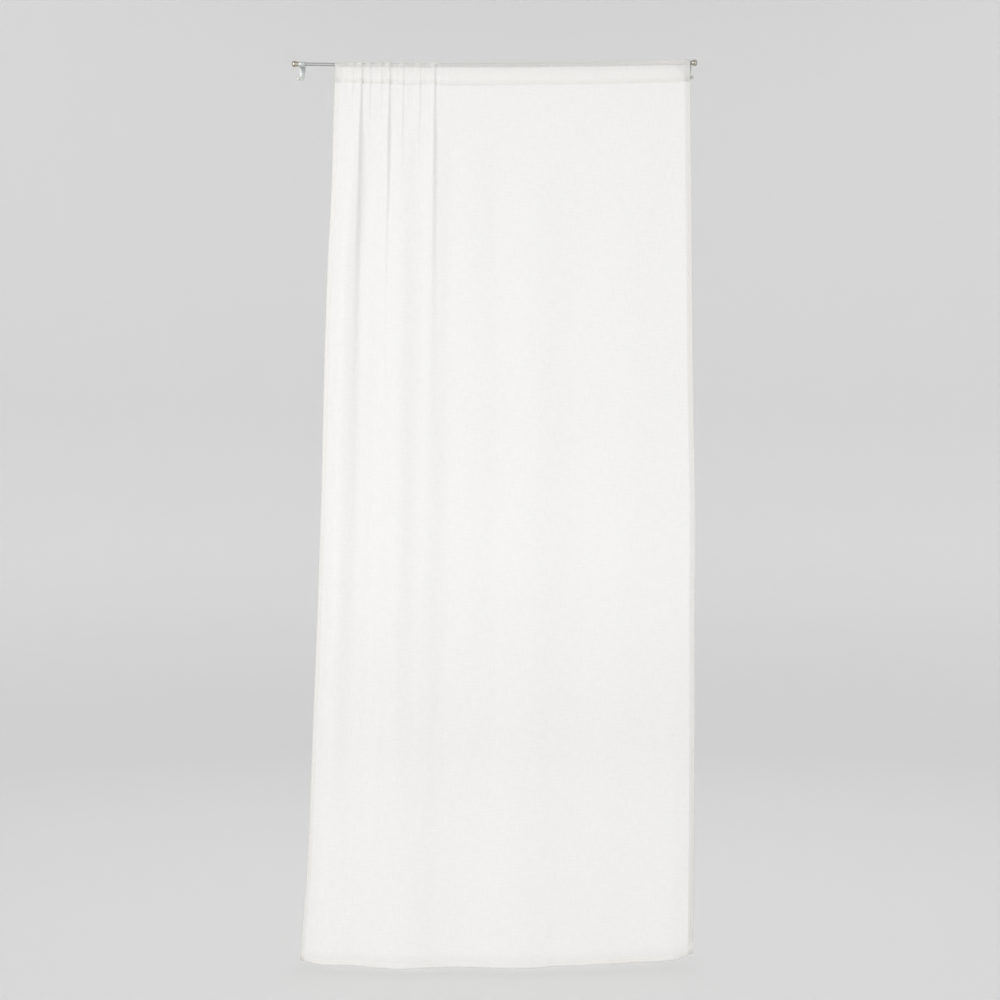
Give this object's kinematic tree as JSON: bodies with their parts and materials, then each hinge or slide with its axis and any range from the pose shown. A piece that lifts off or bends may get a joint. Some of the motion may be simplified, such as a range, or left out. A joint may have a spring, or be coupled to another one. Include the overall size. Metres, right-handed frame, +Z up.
{
  "type": "sheer curtain on a rod",
  "caption": "Sheer linen-look curtain panel with a sewn rod pocket, gathered at one end of a thin metal bar with round end knobs, held in small screw-on cup brackets.",
  "frame": {"origin": "on the flat mounting face behind the brackets, midway between the bar's ends and level with the bar's axis in the left bracket", "axes": "+X right along the bar as seen from the room, +Y back towards the mounting face, +Z up"},
  "size_m": [0.9024, 0.1044, 2.0089],
  "materials": {
    "sheer_cloth": "sheer linen-look plain weave with slubs, off-white",
    "bar_steel": "satin drawn steel",
    "knob_metal": "smooth satin nickel",
    "bracket_metal": "smooth blue-grey lacquer",
    "screw_metal": "bright zinc plate"
  },
  "bodies": {
    "root": {"curtain": "sheer_cloth", "rod": "bar_steel", "finial_left": "knob_metal", "finial_right": "knob_metal", "bracket_left": "bracket_metal", "bracket_right": "bracket_metal", "screw_left": "screw_metal", "screw_right": "screw_metal"}
  },
  "joints": []
}
